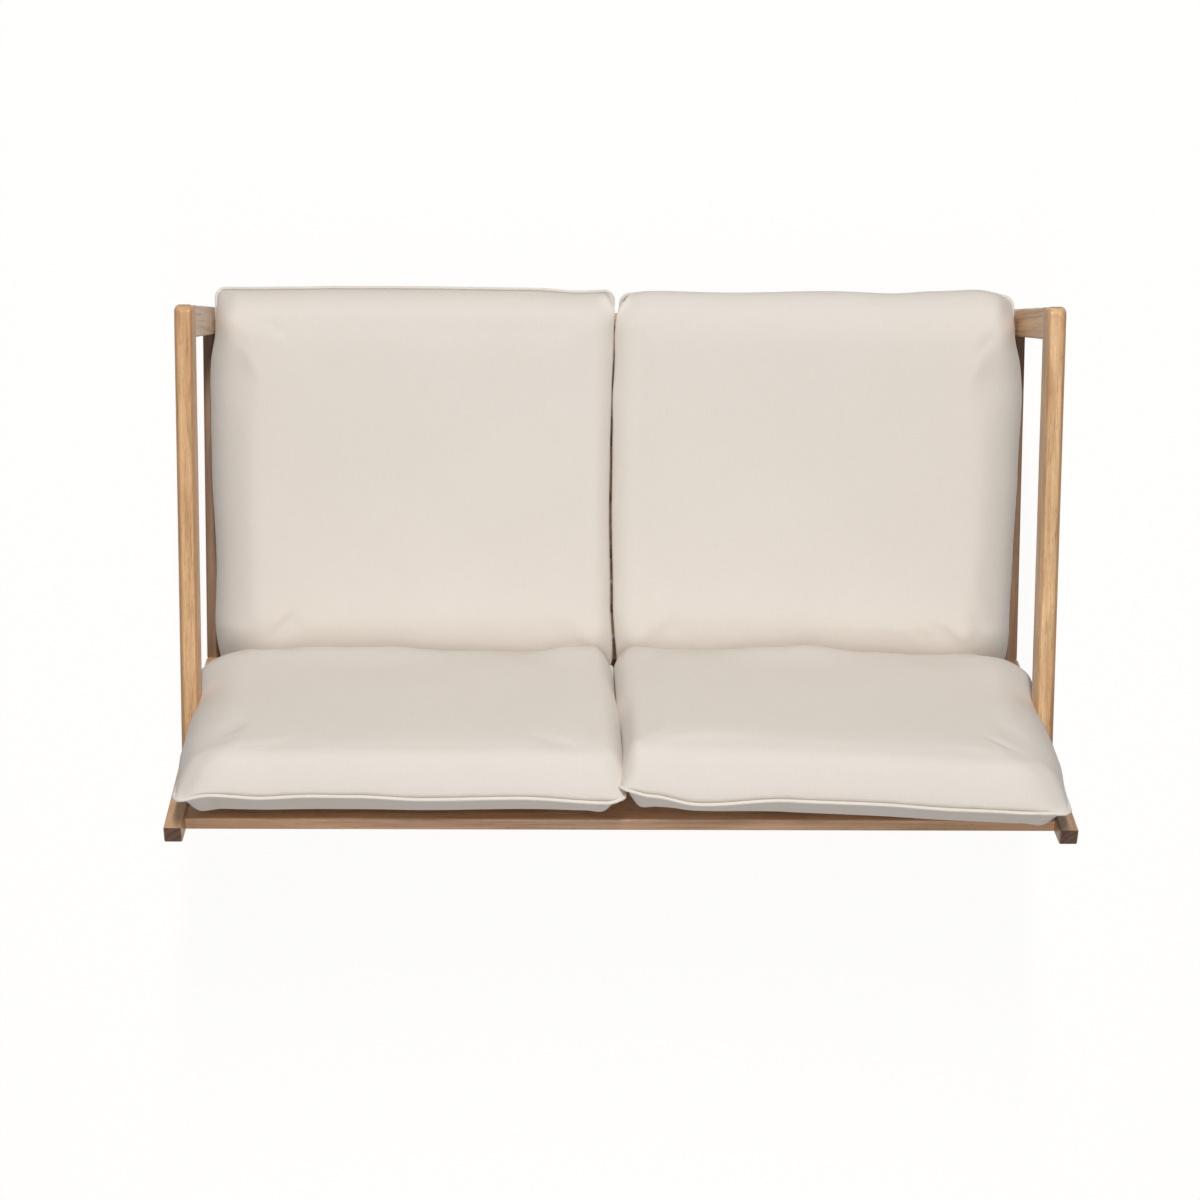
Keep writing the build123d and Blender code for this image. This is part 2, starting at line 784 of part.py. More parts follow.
def cushion(plane, width, length, crown, base):
    """Cover, foam core and welt of one cushion; width and length are those of the welt's centre.

    The crown and the base each have a rise, a run and a lean.
    """
    sewn = welt_radius + glue_gap
    cover_size = (width - 2 * sewn, length - 2 * sewn)
    hollow_size = (cover_size[0] - 2 * seam_margin, cover_size[1] - 2 * seam_margin)
    foam_size = (hollow_size[0] - 2 * foam_gap, hollow_size[1] - 2 * foam_gap)
    with BuildPart() as cover:
        for rise, run, lean in (crown, base):
            loft(crown_sections(plane, *cover_size, rise, run, lean))
        for rise, run, lean in (crown, base):
            hollow_rise = rise - math.copysign(cover_thickness, rise)
            loft(crown_sections(plane, *hollow_size, hollow_rise, run, lean), mode=Mode.SUBTRACT)
    with BuildPart() as foam:
        for rise, run, lean in (crown, base):
            foam_rise = rise - math.copysign(cover_thickness + foam_gap, rise)
            loft(crown_sections(plane, *foam_size, foam_rise, run, lean))
    seam = seam_outline(plane, width, length, side_draw, ear_radius).outer_wire()
    with BuildPart() as welt:
        with BuildSketch(Plane(seam @ 0, z_dir=seam % 0)):
            Circle(welt_radius)
        sweep(path=seam)
    return {"cover": cover.part, "foam": foam.part, "welt": welt.part}


def crown_height(rise, run, inset):
    """Height of a cushion's crown at a given inset from its seam: a parabola up to the full run."""
    return rise * (1 - (1 - inset / run) ** 2)


def crown_slope(rise, run, inset):
    """Slope of a cushion's crown at a given inset from its seam, on the same parabola."""
    return 2 * rise / run * (1 - inset / run)


# The seat cushion's seam runs parallel to the deck, from the front edge to just short of the back rails
cushion_width = inner_half - side_gap - centre_gap / 2 - 2 * welt_radius
cushion_middle = (inner_half - side_gap + centre_gap / 2) / 2
seat_seam_rise = seat_base + soft_gap
seat_seam_start = Vector(0, front_rail_rear_y, deck_height) + deck_plane.z_dir * seat_seam_rise
seat_seam_front = (front_y + welt_radius - seat_seam_start.Y) / pitch_cos
rear_reach = (seat_seam_start - back_plane.origin).dot(back_plane.z_dir)
rear_slope = math.cos(math.radians(back_rake - seat_pitch))
seat_seam_rear = (rear_reach + back_rail_recess - welt_radius - seat_rear_gap) / rear_slope
seat_seam_length = seat_seam_rear - seat_seam_front
seat_seam_plane = Plane(
    origin=deck_plane.from_local_coords(
        (cushion_middle, (seat_seam_front + seat_seam_rear) / 2, seat_seam_rise)
    ),
    x_dir=(1, 0, 0),
    z_dir=deck_plane.z_dir,
)

# The back cushion stands on the rear slope of the seat cushion's crown and leans back on the rails
slope_inset = back_foot_inset - welt_radius
foot_slope = crown_slope(seat_crown, seat_crown_run, slope_inset)
foot_clearance = (welt_radius + soft_gap) / math.hypot(1, foot_slope)
back_foot_rise = seat_seam_rise + crown_height(seat_crown, seat_crown_run, slope_inset)
back_foot = deck_plane.from_local_coords(
    (
        0,
        seat_seam_rear - back_foot_inset + foot_slope * foot_clearance,
        back_foot_rise + foot_clearance - side_draw * back_foot_sink_share,
    )
)
back_top = back_plane.from_local_coords(
    (0, back_cushion_rise - welt_radius, back_cushion_lead - back_rail_recess)
)
back_seam_run = back_top - back_foot
back_seam_length = back_seam_run.length
back_seam_plane = Plane(
    origin=(back_foot + back_top) / 2 + Vector(cushion_middle, 0, 0),
    x_dir=(1, 0, 0),
    z_dir=Vector(1, 0, 0).cross(back_seam_run),
)
back_lean = math.degrees(math.atan2(back_seam_run.Y, back_seam_run.Z)) - back_rake
back_base = back_plane.to_local_coords(back_seam_plane.origin).Z + back_rail_recess - soft_gap

seat_pieces = cushion(
    seat_seam_plane,
    cushion_width,
    seat_seam_length,
    crown=(seat_crown, seat_crown_run, 0),
    base=(-seat_base, seat_base_run, 0),
)
back_pieces = cushion(
    back_seam_plane,
    cushion_width,
    back_seam_length,
    crown=(back_crown, back_crown_run, 0),
    base=(-back_base, back_base_run, back_lean),
)
for place, pieces in (("seat", seat_pieces), ("back", back_pieces)):
    for kind, piece in pieces.items():
        save(piece, f"{place}_{kind}_left")
        with BuildPart() as opposite:
            mirror(piece, about=Plane.YZ)
        save(opposite.part, f"{place}_{kind}_right")
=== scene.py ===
import math

import bpy
import numpy as np
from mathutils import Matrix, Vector


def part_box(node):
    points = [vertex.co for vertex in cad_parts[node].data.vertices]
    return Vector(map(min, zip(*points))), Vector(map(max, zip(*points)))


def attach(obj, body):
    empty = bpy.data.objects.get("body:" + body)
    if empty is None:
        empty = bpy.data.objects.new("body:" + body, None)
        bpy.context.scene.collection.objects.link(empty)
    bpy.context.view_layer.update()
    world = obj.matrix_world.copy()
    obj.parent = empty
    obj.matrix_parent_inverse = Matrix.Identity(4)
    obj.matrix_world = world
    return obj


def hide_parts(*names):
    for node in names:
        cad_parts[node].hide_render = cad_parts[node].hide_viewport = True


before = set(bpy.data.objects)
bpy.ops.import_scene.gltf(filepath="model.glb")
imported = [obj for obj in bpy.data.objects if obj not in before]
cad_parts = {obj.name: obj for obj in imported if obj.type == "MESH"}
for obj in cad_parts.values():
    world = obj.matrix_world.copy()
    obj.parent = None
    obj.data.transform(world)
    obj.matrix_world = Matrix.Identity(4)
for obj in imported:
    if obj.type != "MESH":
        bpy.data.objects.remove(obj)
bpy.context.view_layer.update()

# Patio loveseat, dressed: two seat cushions and two back cushions on an oiled hardwood frame.
# The part's own frame, in metres: +X is the sitter's left, -Y the front, +Z up.

# Camera: above the seat, leaning a little towards the back
photo_pixels = 1200
focal_pixels = 2367
sensor_width = 0.036
camera_place = (0.1196, -0.247, 4.234)
camera_tilt = math.radians(5)
camera_roll = math.radians(0.15)
shift_pixels = 59

# Cushions
welt_radius = 0.00275
welt_reach = 0.85 * welt_radius  # from the seam out to the middle of the welt
welt_sides = 14
welt_steps = 150  # along each side of the cushion
foam_shares = (0.94, 0.94, 0.9)  # size of the core as shares of the cover
grid_step = 0.0065
seam_rows = (0.0, 0.0012, 0.003, 0.0055, 0.0085, 0.012, 0.0165)  # rows of a grid beside the seam
corner_power = 1.3  # how the runs of two sides join towards a corner
shoulder_power = 2.2  # how full a round shoulder is
squarest = 0.9  # the most that a shoulder's height is squared up
move_fade = 0.11  # how far in from the seam a side's wander and lift reach
swell_reach = 1.6  # how far in its swell reaches, in runs of the crown
gather_depth = 0.0003  # gathers from the stitching: depth, where they are full, how far they die
gather_start = 0.004
gather_width = 0.014
slow_height = 0.0008  # slow swells over a whole panel


def link(obj):
    """Put an object in the scene."""
    bpy.context.scene.collection.objects.link(obj)
    return obj


def mesh_object(name, points, faces):
    """A smooth mesh object from an array of points and an array of quads."""
    mesh = bpy.data.meshes.new(name)
    mesh.from_pydata(points.tolist(), [], faces.tolist())
    mesh.polygons.foreach_set("use_smooth", np.ones(len(mesh.polygons), bool))
    mesh.update()
    return link(bpy.data.objects.new(name, mesh))


# Shader helpers
def srgb(red, green, blue):
    """A colour given as 8-bit values, as a linear colour with alpha."""
    parts = np.array([red, green, blue]) / 255
    linear = np.where(parts <= 0.04045, parts / 12.92, ((parts + 0.055) / 1.055) ** 2.4)
    return (*linear.tolist(), 1.0)


class Nodes:
    """A node tree, with short calls for adding and joining its nodes."""

    def __init__(self, tree):
        self.tree = tree

    def add(self, kind, inputs=None, **settings):
        """A new node, with its settings and what goes into its sockets."""
        node = self.tree.nodes.new(kind)
        for name, value in settings.items():
            setattr(node, name, value)
        for socket, value in (inputs or {}).items():
            self.feed(node.inputs[socket], value)
        return node

    def feed(self, socket, value):
        """Join an output to a socket, or set the socket's value."""
        if isinstance(value, bpy.types.NodeSocket):
            self.tree.links.new(value, socket)
        else:
            socket.default_value = value

    def math(self, operation, *values, clamp=False):
        """A sum on one or two values."""
        node = self.add("ShaderNodeMath", operation=operation, use_clamp=clamp)
        for socket, value in zip(node.inputs, values):
            self.feed(socket, value)
        return node.outputs[0]

    def ramp(self, value, low, high, to_low=0.0, to_high=1.0):
        """A value carried from one range to another, held at the ends."""
        node = self.add("ShaderNodeMapRange", clamp=True)
        for socket, number in zip(node.inputs, (value, low, high, to_low, to_high)):
            self.feed(socket, number)
        return node.outputs[0]

    def mix(self, share, first, second):
        """Two colours mixed by a share."""
        node = self.add("ShaderNodeMix", data_type="RGBA")
        for place, value in ((0, share), (6, first), (7, second)):
            self.feed(node.inputs[place], value)
        return node.outputs[2]

    def weigh(self, *parts):
        """The sum of values, each given with its weight."""
        products = [self.math("MULTIPLY", value, weight) for value, weight in parts]
        total = products[0]
        for product in products[1:]:
            total = self.math("ADD", total, product)
        return total

    def noise(self, vector, scale, detail=3.0, roughness=0.55):
        """Soft noise from 0 to 1."""
        inputs = {"Vector": vector, "Scale": scale, "Detail": detail, "Roughness": roughness}
        return self.add("ShaderNodeTexNoise", inputs).outputs["Fac"]

    def scaled(self, vector, factors):
        """A vector stretched along its axes."""
        inputs = {0: vector, 1: factors}
        return self.add("ShaderNodeVectorMath", inputs, operation="MULTIPLY").outputs[0]

    def drawn_out(self, vector, factors, detail, roughness=0.55):
        """Noise on a vector stretched along its axes."""
        return self.noise(self.scaled(vector, factors), 1.0, detail, roughness)

    def split(self, vector):
        """A vector's three parts."""
        return self.add("ShaderNodeSeparateXYZ", {0: vector}).outputs


def effect(name, inputs):
    """A shader node group that puts out a colour, a roughness and a height.

    Its inputs are given as (name, kind, default).
    """
    tree = bpy.data.node_groups.new(name, "ShaderNodeTree")
    for title, kind, default in inputs:
        socket = tree.interface.new_socket(title, in_out="INPUT", socket_type=kind)
        if default is not None:
            socket.default_value = default
    for title, kind in (
        ("Color", "NodeSocketColor"),
        ("Roughness", "NodeSocketFloat"),
        ("Height", "NodeSocketFloat"),
    ):
        tree.interface.new_socket(title, in_out="OUTPUT", socket_type=kind)
    nodes = Nodes(tree)
    return tree, nodes, nodes.add("NodeGroupInput").outputs, nodes.add("NodeGroupOutput").inputs


def new_material(name):
    """A material with an empty Principled shader: its nodes, and the shader."""
    material = bpy.data.materials.new(name)
    material.use_nodes = True
    material.node_tree.nodes.clear()
    nodes = Nodes(material.node_tree)
    shader = nodes.add("ShaderNodeBsdfPrincipled")
    nodes.add("ShaderNodeOutputMaterial", {"Surface": shader.outputs[0]})
    return material, nodes, shader


def join_surface(nodes, shader, colour, roughness, height, depth, strength):
    """Join a colour, a roughness and a height map, of some depth in metres, to a shader."""
    nodes.feed(shader.inputs["Base Color"], colour)
    nodes.feed(shader.inputs["Roughness"], roughness)
    inputs = {"Height": height, "Distance": depth, "Strength": strength}
    bump = nodes.add("ShaderNodeBump", inputs)
    nodes.feed(shader.inputs["Normal"], bump.outputs[0])


# Oiled hardwood. The board's grain runs along the pattern's X axis.
streak_depth = 0.85
vein_brown = srgb(112, 76, 48)
line_brown = srgb(104, 70, 44)
pore_brown = srgb(90, 58, 34)
# painted shade for the rounded edges of the boards
painted_edge_shade = srgb(158, 108, 66)
end_pale = srgb(112, 84, 64)
end_dark = srgb(62, 44, 34)


def wood_effect():
    """Long streaks, growth rings drawn out along the board, open pores, painted shade on the
    rounded edges, and dark end grain.

    Each factor of a stretched pattern is how many times it changes in a metre.
    """
    tree, n, given, result = effect(
        "hardwood_grain",
        [
            ("Vector", "NodeSocketVector", None),
            ("Along", "NodeSocketFloat", 0.0),
            ("Edge", "NodeSocketFloat", 0.0),
            ("Light", "NodeSocketColor", srgb(214, 172, 126)),
            ("Dark", "NodeSocketColor", srgb(158, 112, 70)),
            ("Streaks", "NodeSocketFloat", 0.5),
        ],
    )
    place, streaks = given["Vector"], given["Streaks"]
    _, y, z = n.split(place)

    # Rings, streaks and drift of tone
    drift = n.drawn_out(place, (2.2, 9.0, 9.0), 2.0)
    turn = n.math("MULTIPLY", n.math("SUBTRACT", drift, 0.5), 5.5)
    across = n.weigh((y, 62.0), (z, 38.0))
    ring = n.ramp(n.math("SINE", n.weigh((across, 3.0), (turn, 4.0))), -1.0, 1.0)
    streak = n.drawn_out(place, (5.0, 150.0, 150.0), 4.0, 0.6)
    fine = n.drawn_out(place, (22.0, 900.0, 900.0), 2.0)
    cloud = n.drawn_out(place, (3.0, 16.0, 16.0), 2.0)
    share = n.weigh(
        (n.ramp(streak, 0.34, 0.68), 0.5),
        (ring, 0.28),
        (n.ramp(cloud, 0.3, 0.7), 0.3),
        (n.ramp(fine, 0.3, 0.7), 0.14),
    )
    colour = n.mix(n.math("MULTIPLY", share, streaks), given["Light"], given["Dark"])

    # Veins, fine lines, pores, and painted shade on the rounded edges
    vein = n.ramp(n.drawn_out(place, (2.4, 110.0, 110.0), 3.0, 0.7), 0.55, 0.74, 0.0, 0.4)
    colour = n.mix(n.math("MULTIPLY", vein, streaks), colour, vein_brown)
    line = n.ramp(n.drawn_out(place, (7.0, 330.0, 330.0), 2.0), 0.54, 0.68, 0.0, 0.42)
    colour = n.mix(n.math("MULTIPLY", line, streaks), colour, line_brown)
    pore = n.ramp(n.drawn_out(place, (70.0, 1500.0, 1500.0), 1.0), 0.63, 0.70)
    colour = n.mix(n.math("MULTIPLY", pore, 0.45), colour, pore_brown)
    # Painted shade: rounded edges, found by how they face, are darkened
    colour = n.mix(n.math("MULTIPLY", given["Edge"], 0.42), colour, painted_edge_shade)

    # End grain, where the surface faces along the board
    end_rings = n.math("SINE", n.weigh((across, 9.0), (turn, 6.0)))
    end_specks = n.drawn_out(place, (40.0, 700.0, 700.0), 2.0)
    rings, specks = n.ramp(end_rings, -1.0, 1.0, 0.0, 0.4), n.ramp(end_specks, 0.35, 0.7, 0.0, 0.6)
    end_colour = n.mix(n.math("ADD", rings, specks), end_pale, end_dark)
    cut = n.ramp(given["Along"], 0.82, 0.97)
    n.feed(result["Color"], n.mix(cut, colour, end_colour))
    rough = n.math("ADD", n.ramp(streak, 0.3, 0.7, 0.42, 0.52), n.math("MULTIPLY", cut, 0.22))
    n.feed(result["Roughness"], rough)
    n.feed(result["Height"], n.weigh((fine, 0.35), (pore, -0.6), (streak, 0.4)))
    return tree


hardwood = wood_effect()


# Directions of the frame, read from the welts, which lie flat in each cushion's seam
def seam_frame(welt):
    """The middle of a seam, its axes (across, along, out of the crown) and its two sizes."""
    low, high = (np.array(corner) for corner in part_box(welt))
    span = high - low - 2 * welt_radius
    is_seat = welt.startswith("seat")
    fall = -span[2] if is_seat else span[2]
    length = math.hypot(span[1], span[2])
    across = np.array([1.0, 0.0, 0.0])
    along = np.array([0.0, span[1], fall]) / length
    axes = np.array([across, along, np.cross(across, along)])
    return (low + high) / 2, axes, (span[0], length)


_, (_, back_slope, _), _ = seam_frame("back_welt_left")
rake = math.atan2(back_slope[1], back_slope[2])
quarter = math.pi / 2
grain_turns = {
    "across": (0, 0, 0),
    "deep": (0, 0, -quarter),
    "upright": (0, quarter, 0),
    "raked": (rake, quarter, 0),
}


def board_material(name, direction, number, light, dark):
    """Hardwood for one board: its own piece of the pattern, its own two tones.

    A rounded edge, which gets painted shade, is where the surface faces partly to the side and
    partly up.
    """
    material, n, shader = new_material(name)
    turn = grain_turns[direction]
    cut_from = (0.37 * number, 0.53 * number, 0.71 * number)
    source = n.add("ShaderNodeTexCoord").outputs
    place = n.add("ShaderNodeMapping", {0: source["Object"], 1: cut_from, 2: turn})
    facing = n.add("ShaderNodeMapping", {0: source["Normal"], 2: turn}, vector_type="VECTOR")
    along, side, top = (n.math("ABSOLUTE", part) for part in n.split(facing.outputs[0]))
    inputs = {
        "Vector": place.outputs[0],
        "Along": along,
        "Edge": n.ramp(n.math("MULTIPLY", side, top), 0.12, 0.45),
        "Light": light,
        "Dark": dark,
        "Streaks": streak_depth,
    }
    grain = n.add("ShaderNodeGroup", inputs, node_tree=hardwood)
    join_surface(n, shader, *grain.outputs[:], depth=0.0003, strength=0.5)
    shader.inputs["Coat Weight"].default_value = 0.3
    shader.inputs["Coat Roughness"].default_value = 0.24
    return material


def dress(name, material):
    """Give a CAD node one material."""
    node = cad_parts[name]
    node.data.materials.clear()
    node.data.materials.append(material)


# Each wood's light and dark tone
golden = (srgb(222, 180, 134), srgb(168, 122, 78))
brown = (srgb(190, 148, 108), srgb(132, 94, 62))
umber = (srgb(160, 124, 94), srgb(110, 80, 56))
boards = [
    ("arm_left", "deep", (srgb(233, 189, 139), srgb(184, 134, 86))),
    ("arm_right", "deep", (srgb(250, 210, 160), srgb(176, 126, 80))),
    ("front_leg_left", "upright", (srgb(252, 228, 202), srgb(208, 178, 150))),
    ("front_leg_right", "upright", (srgb(244, 202, 156), srgb(196, 152, 112))),
    ("back_post_left", "raked", golden),
    ("back_post_right", "raked", (srgb(196, 156, 118), srgb(122, 90, 64))),
    ("side_rail_left", "deep", umber),
    ("side_rail_right", "deep", umber),
    ("seat_ledger_left", "deep", umber),
    ("seat_ledger_right", "deep", umber),
    ("centre_support", "deep", brown),
    ("front_rail", "across", golden),
    ("rear_seat_rail", "across", brown),
    ("top_back_rail", "across", (srgb(252, 208, 168), srgb(188, 142, 106))),
    ("lower_back_rail", "across", brown),
]
boards += [(f"seat_slat_{n}", "across", brown) for n in range(1, 7)]
boards += [(f"back_slat_{n}", "raked", golden) for n in range(1, 12)]
for number, (name, direction, tones) in enumerate(boards):
    dress(name, board_material(f"{name}_wood", direction, number, *tones))


# Small fittings
def fitting_material(name, colour, worn, metallic, roughness, scale):
    """Metal, nylon or turned wood: a mottled colour, with a brushed or moulded surface."""
    material, n, shader = new_material(name)
    place = n.add("ShaderNodeTexCoord").outputs["Object"]
    mottle = n.ramp(n.noise(place, scale, 4.0), 0.35, 0.65)
    scratches = n.noise(n.scaled(place, (1.0, 8.0, 8.0)), scale * 2, 3.0)
    rough = n.ramp(scratches, 0.3, 0.7, roughness, roughness + 0.12)
    mixed = n.mix(mottle, colour, worn)
    join_surface(n, shader, mixed, rough, scratches, depth=0.0001, strength=0.4)
    shader.inputs["Metallic"].default_value = metallic
    return material


steel = fitting_material(
    "zinc_steel",
    srgb(176, 178, 182),
    srgb(150, 150, 152),
    metallic=1.0,
    roughness=0.32,
    scale=900,
)
nylon = fitting_material(
    "black_nylon",
    srgb(38, 38, 40),
    srgb(52, 51, 50),
    metallic=0.0,
    roughness=0.45,
    scale=700,
)
beech = fitting_material(
    "dowel_beech",
    srgb(206, 172, 132),
    srgb(186, 148, 106),
    metallic=0.0,
    roughness=0.55,
    scale=500,
)
for name, material in (
    ("frame_bolts", steel),
    ("barrel_nuts", steel),
    ("slat_screws", steel),
    ("ledger_screws", steel),
    ("foot_glides", nylon),
    ("frame_dowels", beech),
):
    dress(name, material)


# Fabric. The pattern reads the panel's own map, in metres, so the threads follow the cloth.
def weave_effect():
    """A plain weave: warp and weft threads that cross over and under, with slubs and a soft drift
    of tone.

    A thread's height is the larger of |cos| across the warp and across the weft, raised where
    sin times sin of the two says that it lies over.
    """
    tree, n, given, result = effect(
        "plain_weave",
        [
            ("Vector", "NodeSocketVector", None),
            ("Light", "NodeSocketColor", srgb(226, 216, 204)),
            ("Dark", "NodeSocketColor", srgb(204, 192, 178)),
            ("Threads", "NodeSocketFloat", 1100.0),
            ("Contrast", "NodeSocketFloat", 0.5),
        ],
    )
    place = given["Vector"]
    u, v, _ = n.split(place)
    turns = n.math("MULTIPLY", given["Threads"], math.pi)
    warp, weft = n.math("MULTIPLY", u, turns), n.math("MULTIPLY", v, turns)
    over = n.math("MULTIPLY", n.math("SINE", warp), n.math("SINE", weft))
    rounds = [n.math("COSINE", n.math("ADD", angle, quarter)) for angle in (warp, weft)]
    thread = n.math("MAXIMUM", *(n.math("ABSOLUTE", value) for value in rounds))
    knit = n.weigh((thread, 0.65), (n.ramp(over, -1.0, 1.0), 0.35))
    warp_slub = n.drawn_out(place, (900.0, 28.0, 1.0), 2.0)
    weft_slub = n.drawn_out(place, (28.0, 900.0, 1.0), 2.0)
    slub = n.math("MULTIPLY", n.math("ADD", warp_slub, weft_slub), 0.5)
    drift = n.noise(place, 5.0, 3.0)
    share = n.weigh(
        (n.math("SUBTRACT", 1.0, knit), 0.8),
        (n.ramp(slub, 0.38, 0.62), 0.35),
        (n.ramp(drift, 0.3, 0.7), 0.22),
    )
    share = n.math("MULTIPLY", share, given["Contrast"], clamp=True)
    n.feed(result["Color"], n.mix(share, given["Light"], given["Dark"]))
    n.feed(result["Roughness"], n.ramp(knit, 0.0, 1.0, 0.95, 0.82))
    n.feed(result["Height"], n.math("ADD", knit, n.math("MULTIPLY", slub, 0.5)))
    return tree


weave = weave_effect()
shaded_edge = 0.0034  # how wide the painted shadow beside the seam is


def fabric_material(name, light, dark, threads, contrast, painted_seam_shadow=None):
    """Woven outdoor cloth; where a painted seam shadow is given, it darkens the cloth beside the
    seam as painted shade.
    """
    material, n, shader = new_material(name)
    inputs = {
        "Vector": n.add("ShaderNodeUVMap", uv_map="cloth").outputs[0],
        "Light": light,
        "Dark": dark,
        "Threads": threads,
        "Contrast": contrast,
    }
    colour, roughness, height = n.add("ShaderNodeGroup", inputs, node_tree=weave).outputs
    if painted_seam_shadow:
        # Painted shadow: the cloth turns tan beside the welt and fades out over shaded_edge
        inset = n.add("ShaderNodeAttribute", attribute_name="inset").outputs["Fac"]
        colour = n.mix(n.ramp(inset, 0.0, shaded_edge, 0.75, 0.0), colour, painted_seam_shadow)
    join_surface(n, shader, colour, roughness, height, depth=0.00018, strength=0.45)
    shader.inputs["Sheen Weight"].default_value = 0.12
    shader.inputs["Sheen Roughness"].default_value = 0.4
    return material


cover_cloth = fabric_material(
    "cover_cloth",
    srgb(229, 221, 212),
    srgb(206, 197, 186),
    threads=1100.0,
    contrast=0.4,
    # painted shadow beside the welt
    painted_seam_shadow=srgb(176, 154, 128),
)
welt_cloth = fabric_material(
    "welt_cloth", srgb(232, 225, 216), srgb(208, 200, 188), threads=1300.0, contrast=0.4
)


def foam_material():
    """Open-cell foam: fine pores in a cream block."""
    material, n, shader = new_material("foam_block")
    place = n.add("ShaderNodeTexCoord").outputs["Object"]
    bubbles = n.add("ShaderNodeTexVoronoi", {"Vector": place, "Scale": 700.0})
    pores = n.ramp(bubbles.outputs["Distance"], 0.1, 0.6)
    colour = n.mix(pores, srgb(190, 176, 132), srgb(236, 226, 190))
    join_surface(n, shader, colour, 0.95, pores, depth=0.0006, strength=0.6)
    return material


foam_block = foam_material()


# Cushions: two square panels sewn together at the welt, filled by a foam core
def eased(place, table):
    """A value read between the set points of a table, easing in and out of each."""
    shares, values = (np.array(column, float) for column in zip(*table))
    index = np.clip(np.searchsorted(shares, place, side="right") - 1, 0, len(shares) - 2)
    u = np.clip((place - shares[index]) / (shares[index + 1] - shares[index]), 0, 1)
    return values[index] + (values[index + 1] - values[index]) * u * u * (3 - 2 * u)


def steady(value):
    """A table that holds one value."""
    return ((-1, value), (1, value))


def run_left(place, along, size, runs):
    """What is left of the run at a place along one direction: 1 at the seam, 0 at full height."""
    run = np.where(place < 0, eased(along, runs[0]), eased(along, runs[1])) / 1000
    inset = (1 - np.abs(place)) * size / 2
    return 1 - np.clip(inset / run, 0, 1)


class Side:
    """One side of a cushion. Its tables run along the side from share -1 to 1, in millimetres."""

    def __init__(
        self,
        crown_run,
        base_run,
        bulge,
        wander=steady(0),
        lift=steady(0),
        swell=steady(0),
        square=0.0,
    ):
        self.crown_run = crown_run  # from the seam in to the full height of the crown
        self.base_run = base_run  # from the seam in to the full depth of the base
        self.bulge = bulge  # how far the crown is pushed out over the seam
        self.wander = wander  # how far the seam lies outwards of a straight line
        self.lift = lift  # how far it lies on the crown's side of its plane
        self.swell = swell  # what the crown gains in height beside it
        self.square = square  # how much squarer than round its shoulder is, from 0 to 1


